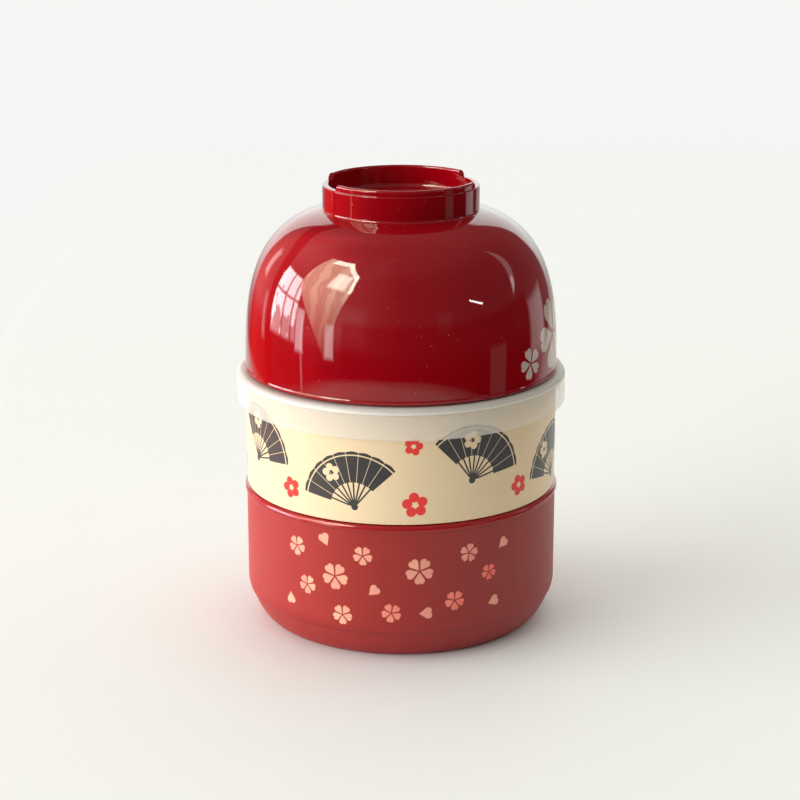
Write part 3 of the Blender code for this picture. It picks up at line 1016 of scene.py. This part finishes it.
walls = (height - WALL_FROM).edge(WALL_SOFTNESS) * WALL_LEVEL + FLOOR_LEVEL
walls = walls + patches(LIT_PATCHES) * (height - LIT_FROM).edge(LIT_SOFTNESS)
walls = walls + (height - CEILING_FROM).edge(CEILING_SOFTNESS) * CEILING_LEVEL
beam_x = bearing.past(BEAM_FROM) * (1 / BEAM_WIDE)
beam_y = height.past(0.0) * (1 / BEAM_TALL)
beam = (beam_x.math("POWER", BEAM_POWER) + beam_y.math("POWER", BEAM_POWER)).math("POWER", 1 / BEAM_POWER)
beam = (BEAM_HALF - (beam - BEAM_PLACE).size()).edge(BEAM_SOFTNESS)
beam = beam * (BEAM_TO - bearing).edge(BEAM_TO_SOFTNESS)
furniture = (FURNITURE_TOP - height).edge(FURNITURE_TOP_SOFTNESS)
furniture = furniture * (bearing - FURNITURE_LEFT).edge(FURNITURE_LEFT_SOFTNESS) * (bearing < FURNITURE_RIGHT)
walls = walls * (1 - furniture * FURNITURE_DARKNESS) * (1 - beam * BEAM_DARKNESS)

# Bright things: poles and streaks, a long thin lamp at a slant, and a curved blade of light
BRIGHT_PATCHES = [
    (110, 130, -13, 2, 4, 1.1), (-78.2, -76.6, -24, 4, 0.8, 2.0), (68, 82, -22, -7, 2, 0.3),
    (-137, -131, 5, 20, 3, 2.2), (-123.5, -120, -10, 2, 2, 1.2)]
LAMP_BEARING = 60
LAMP_HEIGHT = 16.6
LAMP_SLANT = 0.475
LAMP_HALF_HEIGHT = 0.6
LAMP_HALF_LENGTH = 5
LAMP_SOFTNESS = 0.6
LAMP_LEVEL = 30
BLADE_FOOT = 11
BLADE_MIDDLE = 17
BLADE_HALF = 3.6
BLADE_TAPER = 0.0105
BLADE_BEARING = 97
BLADE_LEAN = 0.72
BLADE_CURVE = 0.0078
BLADE_SOFTNESS = 2
BLADE_LEVEL = 1.1
BLADE_PATCH = (97, 103, 11, 20, 3, 3.0)

slant = height + (bearing - LAMP_BEARING) * LAMP_SLANT - LAMP_HEIGHT
lamp = (LAMP_HALF_HEIGHT - slant.size()).least(LAMP_HALF_LENGTH - (bearing - LAMP_BEARING).size())
lamp = lamp.edge(LAMP_SOFTNESS) * LAMP_LEVEL
rise = height - BLADE_FOOT
from_middle = rise - BLADE_MIDDLE
blade = BLADE_HALF - from_middle * from_middle * BLADE_TAPER
blade = blade - (bearing - BLADE_BEARING - rise * BLADE_LEAN + rise * rise * BLADE_CURVE).size()
blade = blade.edge(BLADE_SOFTNESS) * (BLADE_LEVEL + patches([BLADE_PATCH]))
dim = walls + patches(BRIGHT_PATCHES) + lamp + blade

# The pale wall behind the box, and the red side of the room at the left
FAR_WALL_SIDE = 149.5
FAR_WALL_TOP = 33
FAR_WALL_SLOPE = 1.6
FAR_WALL_SLOPE_SIDE = 152
FAR_WALL_SLOPE_FOOT = 17
FAR_WALL_SOFTNESS = 3
FAR_WALL_FADE_FROM = -14
FAR_WALL_FADE_OVER = 20
FAR_WALL_LEVEL = 1.7
RED_PATCH = (-146, -60, -30, 60, 18, 1.8)

aside = bearing.size()
slope = (aside - FAR_WALL_SLOPE_SIDE) * FAR_WALL_SLOPE + FAR_WALL_SLOPE_FOOT - height
far_wall = (aside - FAR_WALL_SIDE).least(FAR_WALL_TOP - height).least(slope).edge(FAR_WALL_SOFTNESS)
far_wall = far_wall * ((height - FAR_WALL_FADE_FROM) * (1 / FAR_WALL_FADE_OVER)).held() * FAR_WALL_LEVEL

# What lights the matt surfaces: more from behind and above, less from below
ROOM_FRONT = 0.17
ROOM_BACK = 1.31
ROOM_BELOW = 0.3
TOWARDS_BACK = 0.60
TOWARDS_TOP = 0.50
TOWARDS_MIDDLE = 0.24
HORIZON_RAMP = 3

soft = (back * TOWARDS_BACK + up.past(0.0) * TOWARDS_TOP + TOWARDS_MIDDLE).held()
soft = soft * (ROOM_BACK - ROOM_FRONT) + ROOM_FRONT
soft = soft * (up * HORIZON_RAMP + 1).held(ROOM_BELOW)

SOFT_WHITE = (1.0, 0.955, 0.89)
ROOM_WHITE = (1.0, 0.98, 0.97)
FAR_WALL_WHITE = (0.84, 1.0, 0.96)
ROOM_RED = (1.0, 0.02, 0.01)
CURTAIN_CLOTH = (1.0, 0.90, 0.62)
SUNLIT_CLOTH = (0.86, 1.0, 0.86)
DAYLIGHT = (0.93, 0.97, 1.0)
CURTAIN_LEVEL = 5.5
FOLD_LEVEL = 3.5
CREASE_DARKNESS = 0.45
SUN_LEVEL = 14
WINDOW_LEVEL = 14
SLIT_LEVEL = 6

cloth = (folds * FOLD_LEVEL + CURTAIN_LEVEL) * (1 - creases * CREASE_DARKNESS)
glows = [
    room.glow(BACKDROP, seen),
    room.glow(SOFT_WHITE, soft * spread),
    room.glow(ROOM_WHITE, dim * mirrored),
    room.glow(FAR_WALL_WHITE, far_wall * mirrored),
    room.glow(ROOM_RED, patches([RED_PATCH]) * mirrored),
    room.glow(CURTAIN_CLOTH, curtain * cloth * mirrored),
    room.glow(SUNLIT_CLOTH, curtain * sun * SUN_LEVEL * mirrored),
    room.glow(DAYLIGHT, (window * WINDOW_LEVEL + slits * SLIT_LEVEL) * mirrored)]
total = glows[0]
for glow in glows[1:]:
    total = room.node("ShaderNodeAddShader", sockets={0: total, 1: glow})
room.put(room.tree.nodes["World Output"].inputs["Surface"], total)

KEY_WIDTH = 8.0
KEY_TALL = 3.0
KEY_POWER = 618.0
KEY_COLOUR = (0.965, 0.985, 1.0)
KEY_BEARING = math.radians(-72)
KEY_HEIGHT = math.radians(13)
KEY_DISTANCE = 6.4
KEY_AIMS_AT = (0, 0, 0.08)

key_data = bpy.data.lights.new("key", "AREA")
key_data.shape = "RECTANGLE"
key_data.size = KEY_WIDTH
key_data.size_y = KEY_TALL
key_data.energy = KEY_POWER
key_data.color = KEY_COLOUR
key = add_object("key", key_data)
level_part = math.cos(KEY_HEIGHT)
aim = np.array([
    math.sin(KEY_BEARING) * level_part, -math.cos(KEY_BEARING) * level_part, math.sin(KEY_HEIGHT)])
key.location = aim * KEY_DISTANCE + KEY_AIMS_AT
key.rotation_euler = (math.pi / 2 - KEY_HEIGHT, 0, KEY_BEARING)
key.visible_camera = False
key.visible_glossy = False

bpy.context.scene.view_settings.view_transform = "Standard"
